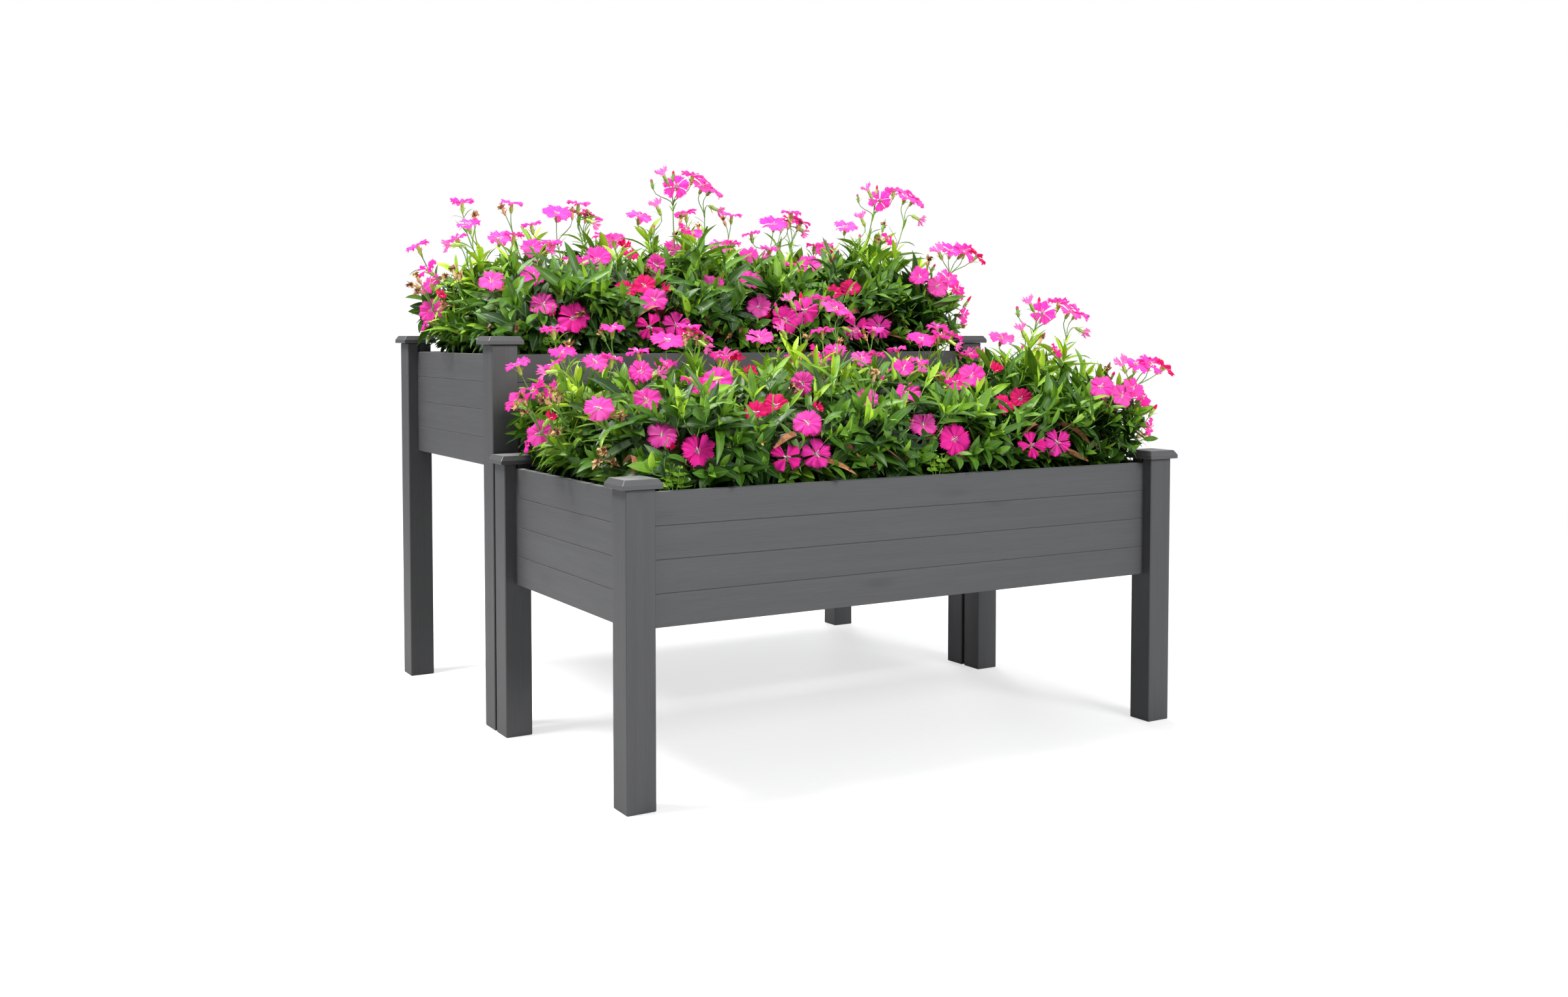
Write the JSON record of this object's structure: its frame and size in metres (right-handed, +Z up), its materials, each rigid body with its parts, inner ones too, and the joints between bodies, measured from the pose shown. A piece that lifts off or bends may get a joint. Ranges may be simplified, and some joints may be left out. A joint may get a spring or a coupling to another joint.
{
  "type": "planted tiered raised bed",
  "caption": "Two-tier raised garden bed: a low and a tall timber trough on square capped legs, filled with soil and pink-flowering dianthus.",
  "frame": {"origin": "on the ground, under the middle of the pair of beds", "axes": "+Z up, +X along the long sides to the right as seen from the low bed's side, +Y from the low front bed to the tall rear bed"},
  "size_m": [1.33, 1.2504, 1.1492],
  "materials": {
    "painted_wood": "satin",
    "soil": "matte",
    "leaf": "satin",
    "stem": "satin",
    "petal_pink": "matte",
    "petal_rose": "matte",
    "stamen": "matte",
    "withered": "matte"
  },
  "bodies": {
    "root": {"low_bed_post_front_left": "painted_wood", "low_bed_post_front_right": "painted_wood", "low_bed_post_rear_left": "painted_wood", "low_bed_post_rear_right": "painted_wood", "low_bed_cap_front_left": "painted_wood", "low_bed_cap_front_right": "painted_wood", "low_bed_cap_rear_left": "painted_wood", "low_bed_cap_rear_right": "painted_wood", "low_bed_board_front_1": "painted_wood", "low_bed_board_front_2": "painted_wood", "low_bed_board_front_3": "painted_wood", "low_bed_board_front_4": "painted_wood", "low_bed_board_rear_1": "painted_wood", "low_bed_board_rear_2": "painted_wood", "low_bed_board_rear_3": "painted_wood", "low_bed_board_rear_4": "painted_wood", "low_bed_board_left_1": "painted_wood", "low_bed_board_left_2": "painted_wood", "low_bed_board_left_3": "painted_wood", "low_bed_board_left_4": "painted_wood", "low_bed_board_right_1": "painted_wood", "low_bed_board_right_2": "painted_wood", "low_bed_board_right_3": "painted_wood", "low_bed_board_right_4": "painted_wood", "low_bed_cleat_front": "painted_wood", "low_bed_cleat_rear": "painted_wood", "low_bed_floor": "painted_wood", "low_bed_soil": "soil", "low_bed_pinks_left": "leaf", "low_bed_pinks_right": "leaf", "tall_bed_post_front_left": "painted_wood", "tall_bed_post_front_right": "painted_wood", "tall_bed_post_rear_left": "painted_wood", "tall_bed_post_rear_right": "painted_wood", "tall_bed_cap_front_left": "painted_wood", "tall_bed_cap_front_right": "painted_wood", "tall_bed_cap_rear_left": "painted_wood", "tall_bed_cap_rear_right": "painted_wood", "tall_bed_board_front_1": "painted_wood", "tall_bed_board_front_2": "painted_wood", "tall_bed_board_front_3": "painted_wood", "tall_bed_board_front_4": "painted_wood", "tall_bed_board_rear_1": "painted_wood", "tall_bed_board_rear_2": "painted_wood", "tall_bed_board_rear_3": "painted_wood", "tall_bed_board_rear_4": "painted_wood", "tall_bed_board_left_1": "painted_wood", "tall_bed_board_left_2": "painted_wood", "tall_bed_board_left_3": "painted_wood", "tall_bed_board_left_4": "painted_wood", "tall_bed_board_right_1": "painted_wood", "tall_bed_board_right_2": "painted_wood", "tall_bed_board_right_3": "painted_wood", "tall_bed_board_right_4": "painted_wood", "tall_bed_cleat_front": "painted_wood", "tall_bed_cleat_rear": "painted_wood", "tall_bed_floor": "painted_wood", "tall_bed_soil": "soil", "tall_bed_pinks_left": "leaf", "tall_bed_pinks_right": "leaf"}
  },
  "joints": []
}
